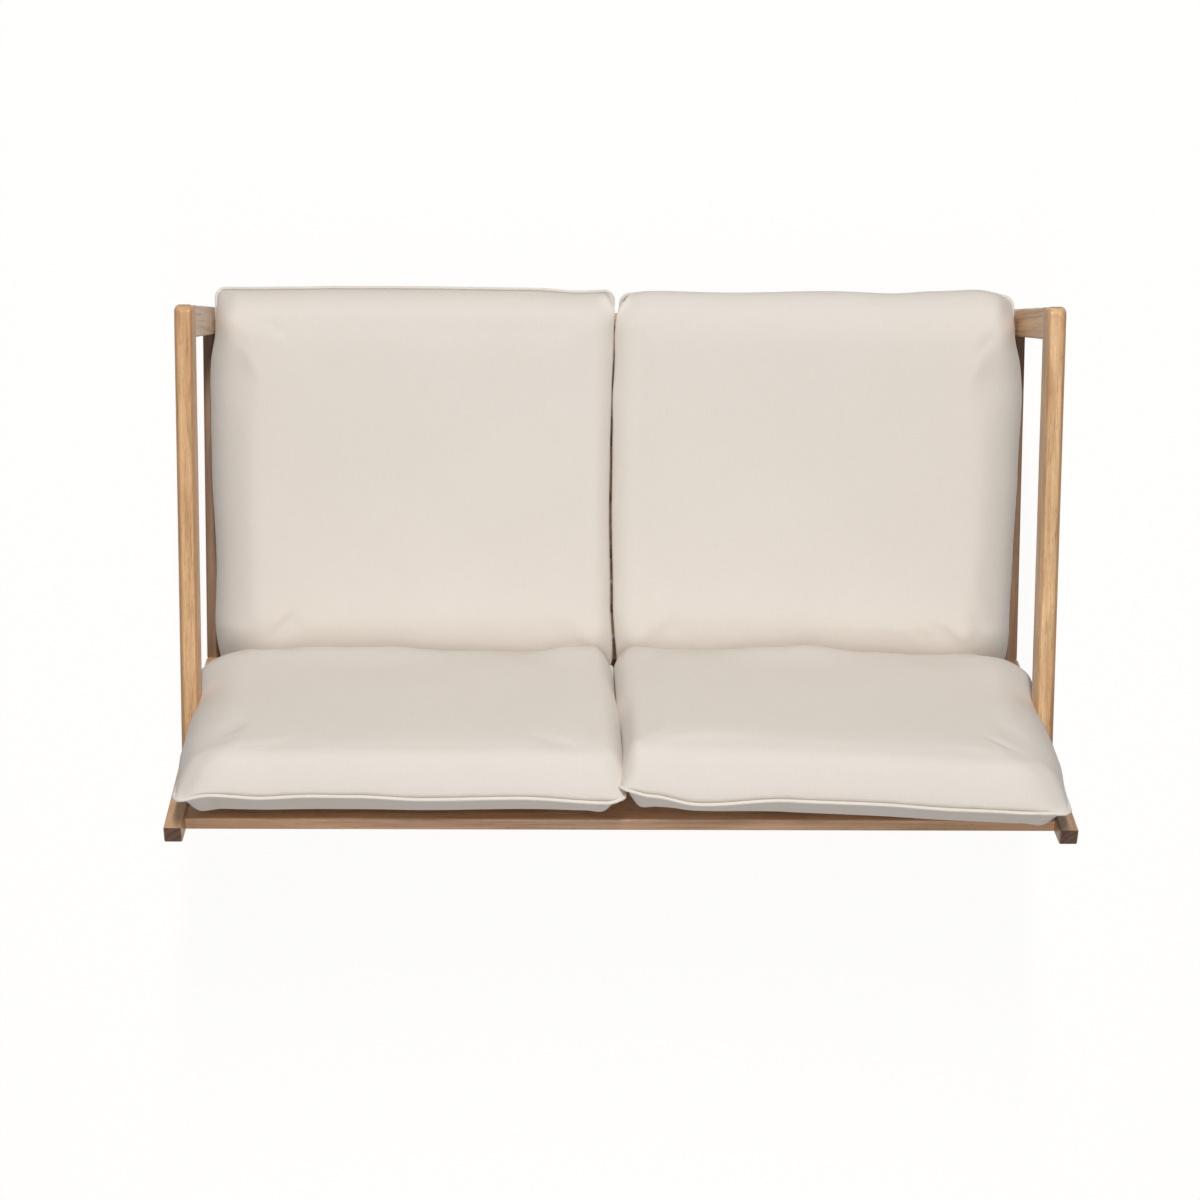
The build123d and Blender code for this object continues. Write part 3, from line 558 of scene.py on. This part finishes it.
class Cushion:
    """One cushion in the frame of its seam: x across, y along, z out of the crown."""

    def __init__(self, kind, side, heights, sides, corners, ears, creases, seed):
        self.kind = kind
        self.side = side
        self.middle, self.axes, (welt_width, welt_length) = seam_frame(f"{kind}_welt_{side}")
        self.width = welt_width - 2 * welt_reach
        self.length = welt_length - 2 * welt_reach
        self.crown, self.base_near, self.base_far = heights  # over and under the seam
        self.sides = sides  # -x, +x, -y and +y
        self.corners = np.array(corners) / 1000  # moves of -x-y, +x-y, -x+y and +x+y
        self.ears = ears  # corner radius at the same four corners
        self.creases = creases  # panel, corner, start and end in from it, width and depth
        self.waves = np.random.default_rng(seed).uniform(0.0, 2 * math.pi, (3, 9))

    def plan(self, s, t):
        """Place in the seam's plane for s and t from -1 to 1.

        A rectangle, its corner squares turned into quarter discs, x' = x sqrt(1 - y^2 / 2).
        """
        half_width, half_length = self.width / 2, self.length / 2
        near_ear, far_ear = np.where(s < 0, *self.ears[:2]), np.where(s < 0, *self.ears[2:])
        ear = np.where(t < 0, near_ear, far_ear)
        x, y = np.abs(s) * half_width, np.abs(t) * half_length
        p = np.clip((x - half_width + ear) / ear, 0, 1)
        q = np.clip((y - half_length + ear) / ear, 0, 1)
        round_x = half_width - ear + ear * p * np.sqrt(1 - q * q / 2)
        round_y = half_length - ear + ear * q * np.sqrt(1 - p * p / 2)
        in_ear = (p > 0) & (q > 0)
        return np.sign(s) * np.where(in_ear, round_x, x), np.sign(t) * np.where(in_ear, round_y, y)

    def seam_moves(self, s, t):
        """How the seam leaves its flat rectangle, as x, y and z.

        The corners' moves are shared out bilinearly; what each side adds fades inwards, as
        (1 - inset / move_fade)^2.
        """
        shares = [(1 + x * s) * (1 + y * t) for y in (-1, 1) for x in (-1, 1)]
        moves = np.stack(shares, -1) @ self.corners / 4
        for side, along, outwards, size, axis, sign in self.around(s, t):
            fade = np.clip(1 - (1 - outwards) * size / 2 / move_fade, 0, 1) ** 2
            moves[..., axis] += sign * fade * eased(along, side.wander) / 1000
            moves[..., 2] += fade * eased(along, side.lift) / 1000
        return moves

    def around(self, s, t):
        """The four sides: each with its share along, its share outwards, and how it lies."""
        left, right, near, far = self.sides
        return (
            (left, t, -s, self.width, 0, -1),
            (right, t, s, self.width, 0, 1),
            (near, s, -t, self.length, 1, -1),
            (far, s, t, self.length, 1, 1),
        )

    def base_depth(self, t):
        """Depth of the base under the seam, from its near side to its far one."""
        return self.base_near + (self.base_far - self.base_near) * (t + 1) / 2

    def crease_depth(self, x, y, up):
        """Depth of the creases: soft valleys, each along a line that starts deep and runs out.

        Across its line a valley is exp(-(distance / width)^2); along it, (1 - share)^0.8.
        """
        depth = np.zeros_like(x)
        for panel, corner, start, end, width, deep in self.creases:
            if panel != up:
                continue
            reach = np.array([self.width, self.length]) / 2
            first = (reach - np.array(start) / 1000) * corner
            run = (reach - np.array(end) / 1000) * corner - first
            share = ((x - first[0]) * run[0] + (y - first[1]) * run[1]) / (run @ run)
            held = np.clip(share, 0, 1)
            away = np.hypot(x - first[0] - held * run[0], y - first[1] - held * run[1])
            depth += deep / 1000 * (1 - held) ** 0.8 * np.exp(-((away * 1000 / width) ** 2))
        return depth

    def pucker(self, s, t):
        """Small gathers beside the seam, from the stitching, and slow swells over the whole panel.

        The gathers are sines along each side that die away from the seam; the swells are sines
        across the panel in turned directions, flat at its rim.
        """
        height = np.zeros(np.broadcast(s, t).shape)
        for _, along, outwards, size, _, _ in self.around(s, t):
            inset = (1 - outwards) * size / 2
            near = np.exp(-inset / gather_width) * np.clip(inset / gather_start, 0, 1)
            for order, start in enumerate(self.waves[0, :6], start=1):
                height += gather_depth * near * np.sin(along * (9 + 7.3 * order) + start)
        for order, (start, turn) in enumerate(zip(*self.waves[1:]), start=1):
            slow = s * math.cos(turn) + t * math.sin(turn)
            wave = np.sin(2.2 * order**0.7 * slow + start)
            height += slow_height / order * wave * (1 - s**8) * (1 - t**8)
        return height

    def surface(self, s, t, up):
        """Points of a panel: the crown where up is 1, the base where it is -1.

        With u and v left of the runs of the two directions, r^1.3 = 1 - (1 - u^1.3)(1 - v^1.3) and
        the height is 1 - r^2.2, to a lower power beside a square side, with the swells and the
        creases. Near the seam the crown is pushed out over it.
        """
        x, y = self.plan(s, t)
        moves = self.seam_moves(s, t)
        left, right, near, far = self.sides
        name = "crown_run" if up > 0 else "base_run"
        u = run_left(s, t, self.width, (getattr(left, name), getattr(right, name)))
        v = run_left(t, s, self.length, (getattr(near, name), getattr(far, name)))
        joined = 1 - (1 - u**corner_power) * (1 - v**corner_power)
        fill = 1 - joined ** (shoulder_power / corner_power)
        if up > 0:
            square_s = np.where(s < 0, left.square, right.square)
            square_t = np.where(t < 0, near.square, far.square)
            fill = fill ** (1 - np.minimum(square_s * u + square_t * v, squarest))
        z = fill * (self.crown if up > 0 else self.base_depth(t))
        for side, along, outwards, size, axis, sign in self.around(s, t):
            if up > 0:
                inset = (1 - outwards) * size / 2 / eased(along, side.crown_run) * 1000
                others = np.sqrt(1 - (v if axis == 0 else u) ** 2)
                hump = np.sin(math.pi * np.clip(inset / swell_reach, 0, 1)) ** 2
                z = z + hump * others * eased(along, side.swell) / 1000
                push = np.sin(math.pi * np.sqrt(np.clip(inset, 0, 1)))
                moves[..., axis] += sign * push * others * eased(along, side.bulge) / 1000
        z = z - self.crease_depth(x, y, up) + self.pucker(s, t) * up
        return np.stack([x + moves[..., 0], y + moves[..., 1], up * z + moves[..., 2]], axis=-1)

    def place(self, points):
        """Points of the seam's frame, in the part's frame."""
        return points @ self.axes + self.middle

    def local(self, points):
        """Points of the part's frame, in the seam's frame."""
        return (points - self.middle) @ self.axes.T


def grid_places(size):
    """Shares from -1 to 1 along a panel: close rows beside the seams, even steps between them."""
    first = seam_rows[-1]
    count = round((size - 2 * first) / grid_step) + 1
    inner = np.linspace(first, size - first, count)
    places = np.concatenate([seam_rows[:-1], inner, size - np.array(seam_rows[:-1])[::-1]])
    return 2 * places / size - 1


def walk(points, axis):
    """Length walked over the cloth along one grid direction, counted from the middle."""
    steps = np.linalg.norm(np.diff(points, axis=axis), axis=-1)
    start = np.zeros_like(steps.take([0], axis=axis))
    walked = np.concatenate([start, np.cumsum(steps, axis=axis)], axis=axis)
    return walked - walked.take([walked.shape[axis] // 2], axis=axis)


def cells(grid, flip):
    """The four corners of each cell of a grid, in turn, or in turn the other way round."""
    corners = [grid[:-1, :-1], grid[1:, :-1], grid[1:, 1:], grid[:-1, 1:]]
    return np.stack(corners[::-1] if flip else corners, axis=2)


def panel_pair(cushion):
    """Both panels as one closed grid. Their rims are the same points.

    Returns the points, the quads, each quad's cloth map and each point's distance from the seam.
    """
    s, t = np.meshgrid(grid_places(cushion.width), grid_places(cushion.length), indexing="ij")
    rows, columns = s.shape
    over = np.arange(rows * columns).reshape(rows, columns)
    inside = np.zeros((rows, columns), bool)
    inside[1:-1, 1:-1] = True
    under = over.copy()
    under[inside] = rows * columns + np.arange(inside.sum())
    crown, base = cushion.surface(s, t, 1), cushion.surface(s, t, -1)
    points = np.concatenate([crown.reshape(-1, 3), base[inside]])
    faces = np.concatenate([cells(over, False).reshape(-1, 4), cells(under, True).reshape(-1, 4)])
    flats = [np.stack([walk(panel, 0), walk(panel, 1)], axis=-1) for panel in (crown, base)]
    maps = [cells(flat, flip).reshape(-1, 2) for flat, flip in zip(flats, (False, True))]
    to_s, to_t = (1 - np.abs(s)) * cushion.width, (1 - np.abs(t)) * cushion.length
    inset = np.minimum(to_s, to_t) / 2
    insets = np.concatenate([inset.ravel(), inset[inside]])
    return points, faces, np.concatenate(maps), insets


def add_map(mesh, maps):
    """Give a mesh its cloth map, in metres."""
    layer = mesh.uv_layers.new(name="cloth")
    layer.data.foreach_set("uv", maps.astype(np.float32).ravel())


def add_inset(mesh, insets):
    """Give each point of a mesh its distance from the seam."""
    layer = mesh.attributes.new("inset", "FLOAT", "POINT")
    layer.data.foreach_set("value", insets.astype(np.float32))


def mesh_points(mesh):
    """The points of a mesh, as an array."""
    points = np.zeros(len(mesh.vertices) * 3)
    mesh.vertices.foreach_get("co", points)
    return points.reshape(-1, 3)


# Cloth: the cover is let out a little and blown up, with its rim held by the welt
cloth_spare = 0.004
cloth_pressure = 4.0
cloth_frames = 20
cloth_reach = 0.004
held_edge = 0.03


def billow(cover, insets):
    """Simulate the cover as cloth round its filling, and keep the new shape near the old one.

    A move of length f becomes reach * tanh(f / reach). It fades to none within twice the held
    edge's width of the seam.
    """
    start = mesh_points(cover.data)
    rim = cover.vertex_groups.new(name="rim")
    rim.add(np.flatnonzero(insets == 0).tolist(), 1.0, "REPLACE")
    cloth = cover.modifiers.new("cloth", "CLOTH")
    settings = cloth.settings
    settings.quality = 4
    settings.mass = 0.3
    settings.tension_stiffness = 15
    settings.compression_stiffness = 15
    settings.shear_stiffness = 5
    settings.bending_stiffness = 0.5
    settings.use_pressure = True
    settings.uniform_pressure_force = cloth_pressure
    settings.shrink_min = -cloth_spare
    settings.vertex_group_mass = "rim"
    settings.effector_weights.gravity = 0
    for number in range(1, cloth_frames + 1):
        bpy.context.scene.frame_set(number)
    posed = cover.evaluated_get(bpy.context.evaluated_depsgraph_get())
    moved = mesh_points(posed.data) - start
    cover.modifiers.remove(cloth)
    cover.vertex_groups.remove(rim)
    bpy.context.scene.frame_set(1)
    far = np.maximum(np.linalg.norm(moved, axis=1), 1e-9)
    free = np.clip((insets - held_edge) / held_edge, 0, 1)
    share = free * cloth_reach * np.tanh(far / cloth_reach) / far
    return start + moved * share[:, None]


def welt_tube(cushion):
    """The welt: a circle carried along the seam, its middle just outside the cover's rim.

    Returns the points, the quads and each quad's cloth map, which is cut on the bias.
    """
    turn = np.linspace(-1, 1, welt_steps, endpoint=False)
    ends = np.ones(welt_steps)
    s = np.concatenate([turn, ends, -turn, -ends])
    t = np.concatenate([-ends, turn, ends, -turn])
    path = cushion.surface(s, t, 1)
    ahead = np.roll(path, -1, axis=0) - np.roll(path, 1, axis=0)
    outwards = np.cross(ahead, [0, 0, 1])
    outwards /= np.linalg.norm(outwards, axis=1, keepdims=True)
    path = path + welt_reach * outwards
    angle = np.linspace(0, 2 * math.pi, welt_sides, endpoint=False)[None, :, None]
    ring = np.cos(angle) * outwards[:, None, :] + np.sin(angle) * [0, 0, 1]
    points = path[:, None, :] + welt_radius * ring
    number = np.arange(len(path) * welt_sides).reshape(len(path), welt_sides)
    faces = cells(np.pad(number, (0, 1), mode="wrap"), True)
    steps = np.linalg.norm(np.diff(path, axis=0, append=path[:1]), axis=1)
    walked = np.concatenate([[0], np.cumsum(steps)])
    girth = np.arange(welt_sides + 1) * 2 * math.pi * welt_radius / welt_sides
    u, v = np.meshgrid(walked, girth, indexing="ij")
    bias = np.stack([u + v, v - u], axis=-1) / math.sqrt(2)
    return points.reshape(-1, 3), faces.reshape(-1, 4), cells(bias, True).reshape(-1, 2)


def make_cushion(cushion):
    """The cover, welt and foam core of one cushion, riding on its body."""
    kind, side = cushion.kind, cushion.side
    body = f"{kind}_cushion_{side}"
    points, faces, maps, insets = panel_pair(cushion)
    cover = mesh_object(f"{body}_cover", cushion.place(points), faces)
    add_map(cover.data, maps)
    add_inset(cover.data, insets)
    swollen = cushion.local(billow(cover, insets))
    t = np.clip(2 * swollen[:, 1] / cushion.length, -1, 1)
    swollen[:, 2] = np.maximum(swollen[:, 2], -cushion.base_depth(t))
    cover.data.vertices.foreach_set("co", cushion.place(swollen).ravel())
    cover.data.materials.append(cover_cloth)
    smooth = cover.modifiers.new("smooth", "SUBSURF")
    smooth.levels = smooth.render_levels = 1
    welt_points, welt_faces, welt_maps = welt_tube(cushion)
    welt = mesh_object(f"{body}_welt", cushion.place(welt_points), welt_faces)
    add_map(welt.data, welt_maps)
    welt.data.materials.append(welt_cloth)
    core = cushion.local(mesh_points(cover.data)) * foam_shares
    foam = mesh_object(f"{body}_foam", cushion.place(core), faces)
    foam.data.materials.append(foam_block)
    for piece, node, slot in (
        (cover, "cover", "cushion_fabric"),
        (welt, "welt", "welt_fabric"),
        (foam, "foam", "foam"),
    ):
        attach(piece, body)
        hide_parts(f"{kind}_{node}_{side}")


# The four cushions, left and right as the sitter has them, their tables read from the photo.
# The gap between the seat cushions wanders: share along it, millimetres towards the left
seat_gap = ((-1, -2), (-0.76, 1), (-0.47, 4), (-0.22, 6), (0.12, 7), (0.63, 4), (0.9, -1), (1, 0))
seat_ears = (0.013, 0.013, 0.013, 0.013)
seat_heights = (0.074, 0.050, 0.050)
back_heights = (0.063, 0.030, 0.073)
outer_run = ((-1, 38), (-0.84, 40), (-0.52, 76), (1, 76))  # short beside the front leg
back_base_run = ((-1, 80), (0, 80), (0.85, 26), (1, 26))
back_outer_bulge = ((-1, 26), (-0.8, 30), (-0.3, 20), (0.5, 17), (0.85, 9), (1, 3))
seat_rear = Side(steady(75), steady(60), steady(6), wander=((-1, 0), (0, -3), (1, 0)))


def opened(table, sign, gap):
    """A wandering seam as one of its two sides sees it."""
    return tuple((share, sign * value - gap) for share, value in table)


left_seat = Cushion(
    "seat",
    "left",
    seat_heights,
    sides=(
        Side(
            steady(24),
            steady(40),
            ((-1, 6), (-0.9, 9), (1, 8)),
            wander=opened(seat_gap, -1, 1),
            square=0.8,
        ),
        Side(
            outer_run,
            steady(60),
            ((-1, 4), (-0.84, 8), (-0.52, 19), (1, 19)),
            wander=((-1, 0), (-0.8, 0), (-0.62, 5), (-0.1, 5), (0.45, -1), (0.75, 3), (1, 0)),
        ),
        Side(
            steady(50),
            steady(60),
            steady(4),
            wander=(
                (-1, 0),
                (-0.83, -2),
                (-0.6, 2),
                (0, 3),
                (0.4, 2.5),
                (0.6, 1),
                (0.85, 0),
                (1, 0),
            ),
            square=0.4,
        ),
        seat_rear,
    ),
    corners=((1, 5, 0), (0, 2, 0), (0, 0, 0), (0, 0, 0)),
    ears=seat_ears,
    creases=(
        (1, (1, -1), (14, 10), (60, 46), 7, 2.5),
        (1, (-1, -1), (10, 12), (40, 60), 7, 2.5),
    ),
    seed=11,
)
right_seat = Cushion(
    "seat",
    "right",
    seat_heights,
    sides=(
        Side(
            outer_run,
            steady(60),
            ((-1, 4), (-0.84, 9), (-0.52, 21), (1, 21)),
            wander=(
                (-1, 0),
                (-0.83, 0),
                (-0.62, 8),
                (-0.48, 10),
                (-0.1, 6),
                (0.43, 0),
                (0.7, -3),
                (1, 0),
            ),
        ),
        Side(
            steady(22),
            steady(40),
            (
                (-1, 6),
                (-0.96, 14),
                (-0.8, 15.6),
                (-0.62, 14),
                (-0.45, 15.6),
                (-0.3, 13.4),
                (0, 13),
                (1, 13),
            ),
            wander=opened(seat_gap, 1, 5),
            square=0.8,
        ),
        Side(
            steady(52),
            steady(60),
            ((-1, 3), (-0.9, 12), (0.9, 13), (1, 3)),
            wander=(
                (-1, 0),
                (-0.82, 9),
                (-0.6, 6),
                (-0.4, 2),
                (-0.08, 5),
                (0.45, 1),
                (0.81, 3),
                (1, 0),
            ),
            square=0.35,
        ),
        seat_rear,
    ),
    corners=((2, 13, 0), (1, 10, 0), (0, 0, 0), (0, 0, 0)),
    ears=seat_ears,
    creases=(
        (1, (1, -1), (14, 8), (34, 46), 5, 5),
        (1, (-1, -1), (12, 12), (36, 64), 6, 4),
        (1, (-1, -1), (40, 8), (50, 40), 5, 4),
    ),
    seed=12,
)
left_back = Cushion(
    "back",
    "left",
    back_heights,
    sides=(
        Side(
            steady(26),
            back_base_run,
            ((-1, 5), (-0.4, 5), (0, 12), (1, 8)),
            wander=((-1, 0), (0, -3), (1, 0)),
        ),
        Side(
            steady(70),
            back_base_run,
            back_outer_bulge,
            wander=((-1, 0), (-0.7, 2), (-0.2, -3), (0.3, -1), (1, 0)),
        ),
        Side(
            steady(100),
            steady(70),
            steady(12),
            wander=((-1, 0), (0, -2), (1, 0)),
            swell=((-1, 0), (-0.81, 4), (-0.58, -7), (-0.26, -2), (0.1, 5), (0.4, 4), (1, 0)),
        ),
        Side(
            steady(48),
            steady(130),
            steady(8),
            wander=((-1, 0), (-0.5, -4), (0.5, -4), (1, 0)),
            lift=(
                (-1, 0),
                (-0.93, -5),
                (-0.54, 1),
                (-0.11, -1),
                (0.2, 4),
                (0.4, 5),
                (0.61, 2),
                (0.85, 8),
                (1, 0),
            ),
        ),
    ),
    corners=((0, 0, -4), (14, 0, -9), (-7, 0, 4), (8, 0, 1)),
    ears=(0.014, 0.018, 0.012, 0.012),
    creases=(
        (1, (1, 1), (16, 12), (60, 50), 8, 3),
        (1, (-1, 1), (10, 16), (44, 60), 8, 3),
        (-1, (1, 1), (44, 2), (62, 40), 7, 6),
        (-1, (-1, 1), (36, 2), (50, 40), 7, 5),
        (1, (1, -1), (30, 20), (80, 70), 9, 3),
    ),
    seed=21,
)
right_back = Cushion(
    "back",
    "right",
    back_heights,
    sides=(
        Side(
            steady(70),
            back_base_run,
            back_outer_bulge,
            wander=((-1, 0), (-0.7, 2), (-0.2, -3), (0.3, 2), (1, 0)),
        ),
        Side(
            steady(24),
            back_base_run,
            ((-1, 12), (0, 12), (0.3, 4), (1, 4)),
            wander=((-1, 0), (-0.3, -3), (0.6, -4), (1, 0)),
            lift=((-1, 0), (0.5, -6), (1, 0)),
        ),
        Side(
            steady(100),
            steady(70),
            steady(12),
            wander=((-1, 0), (0, -2), (1, 0)),
            swell=(
                (-1, 0),
                (-0.82, -4),
                (-0.56, -8),
                (-0.25, -2),
                (0.08, 7),
                (0.25, 4),
                (0.57, -4),
                (1, 0),
            ),
        ),
        Side(
            steady(48),
            steady(114),
            steady(8),
            wander=((-1, 0), (-0.5, -4), (0.5, -4), (1, 0)),
            lift=(
                (-1, 0),
                (-0.74, -4),
                (-0.46, -6),
                (-0.18, -4),
                (0.24, -6),
                (0.66, -20),
                (0.87, -9),
                (1, 0),
            ),
        ),
    ),
    corners=((-13, 0, -9), (0, 0, -4), (-9, 0, -17), (7, 0, 22)),
    ears=(0.018, 0.014, 0.012, 0.012),
    creases=(
        (1, (-1, 1), (16, 12), (60, 50), 8, 3),
        (1, (1, 1), (10, 16), (44, 60), 8, 3),
        (-1, (1, 1), (60, 2), (80, 44), 8, 8),
        (-1, (-1, 1), (34, 2), (52, 40), 7, 6),
        (1, (-1, -1), (26, 20), (76, 70), 9, 4),
    ),
    seed=22,
)
for cushion in (left_seat, right_seat, left_back, right_back):
    make_cushion(cushion)

# Floor and light
floor_size = 14.0
studio_white = (1.0, 0.995, 0.985, 1.0)
floor_glow = 1.04
glow_share = 0.92
room_light = 0.07


def floor_material():
    """Pale studio floor: white to the camera, with a share of real light that keeps the shadow."""
    material = bpy.data.materials.new("pale_floor")
    material.use_nodes = True
    material.node_tree.nodes.clear()
    n = Nodes(material.node_tree)
    place = n.add("ShaderNodeTexCoord").outputs["Object"]
    speckle = n.noise(place, 3.0, 2.0)
    pale = n.mix(speckle, srgb(206, 204, 201), srgb(212, 210, 207))
    lit = n.add("ShaderNodeBsdfDiffuse", {"Color": pale})
    glow = n.add("ShaderNodeEmission", {"Color": studio_white, "Strength": floor_glow})
    paths = n.add("ShaderNodeLightPath").outputs
    seen = n.math("MAXIMUM", paths["Is Camera Ray"], paths["Is Glossy Ray"])
    seen = n.math("MAXIMUM", seen, paths["Is Transmission Ray"])
    share = n.math("MULTIPLY", seen, glow_share)
    mixed = n.add("ShaderNodeMixShader", {0: share, 1: lit.outputs[0], 2: glow.outputs[0]})
    n.add("ShaderNodeOutputMaterial", {"Surface": mixed.outputs[0]})
    return material


half = floor_size / 2
floor = mesh_object(
    "floor",
    np.array([[-half, -half, 0.0], [half, -half, 0.0], [half, half, 0.0], [-half, half, 0.0]]),
    np.array([[0, 1, 2, 3]]),
)
floor.data.materials.append(floor_material())


def studio_world():
    """Soft light from all round, and white where the camera sees it."""
    world = bpy.data.worlds.new("studio")
    world.use_nodes = True
    world.node_tree.nodes.clear()
    n = Nodes(world.node_tree)
    paths = n.add("ShaderNodeLightPath").outputs
    seen = n.math("MAXIMUM", paths["Is Camera Ray"], paths["Is Transmission Ray"])
    strength = n.ramp(seen, 0.0, 1.0, room_light, 1.0)
    sky = n.add("ShaderNodeBackground", {"Color": studio_white, "Strength": strength})
    n.add("ShaderNodeOutputWorld", {"Surface": sky.outputs[0]})
    return world


bpy.context.scene.world = studio_world()


def soft_box(name, place, target, size, power):
    """An area lamp that faces a point."""
    data = bpy.data.lights.new(name, "AREA")
    data.shape = "RECTANGLE"
    data.size, data.size_y = size
    data.energy = power
    lamp = link(bpy.data.objects.new(name, data))
    lamp.location = place
    lamp.rotation_euler = (Vector(target) - Vector(place)).to_track_quat("-Z", "Y").to_euler()
    lamp.visible_camera = False


# Each lamp's name, place, the point it faces, its size and its watts
for lamp_values in (
    ("front", (0.0, -2.9, 5.2), (0.0, 0.0, 0.4), (0.35, 2.2), 256),
    ("top", (0.0, 1.0, 5.0), (0.0, 0.0, 0.4), (0.35, 1.6), 38),
    ("rear", (0.0, 3.0, 1.6), (0.0, 0.3, 0.7), (1.5, 0.5), 23),
):
    soft_box(*lamp_values)

# Camera, square to the photo's frame
camera_data = bpy.data.cameras.new("photo_view")
camera_data.sensor_width = camera_data.sensor_height = sensor_width * 1000
camera_data.sensor_fit = "HORIZONTAL"
camera_data.lens = focal_pixels / photo_pixels * sensor_width * 1000
camera_data.shift_x = shift_pixels / photo_pixels
camera_data.clip_end = 50
camera = link(bpy.data.objects.new("photo_view", camera_data))
sine, cosine = math.sin(camera_tilt), math.cos(camera_tilt)
right, up = np.array([-1.0, 0.0, 0.0]), np.array([0.0, -cosine, -sine])
away = np.array([0.0, -sine, cosine])
turned_right = right * math.cos(camera_roll) + up * math.sin(camera_roll)
turned_up = up * math.cos(camera_roll) - right * math.sin(camera_roll)
matrix = np.identity(4)
matrix[:3] = np.column_stack([turned_right, turned_up, away, camera_place])
camera.matrix_world = matrix.T.tolist()  # filled column by column
bpy.context.scene.camera = camera
bpy.context.scene.view_settings.view_transform = "Standard"
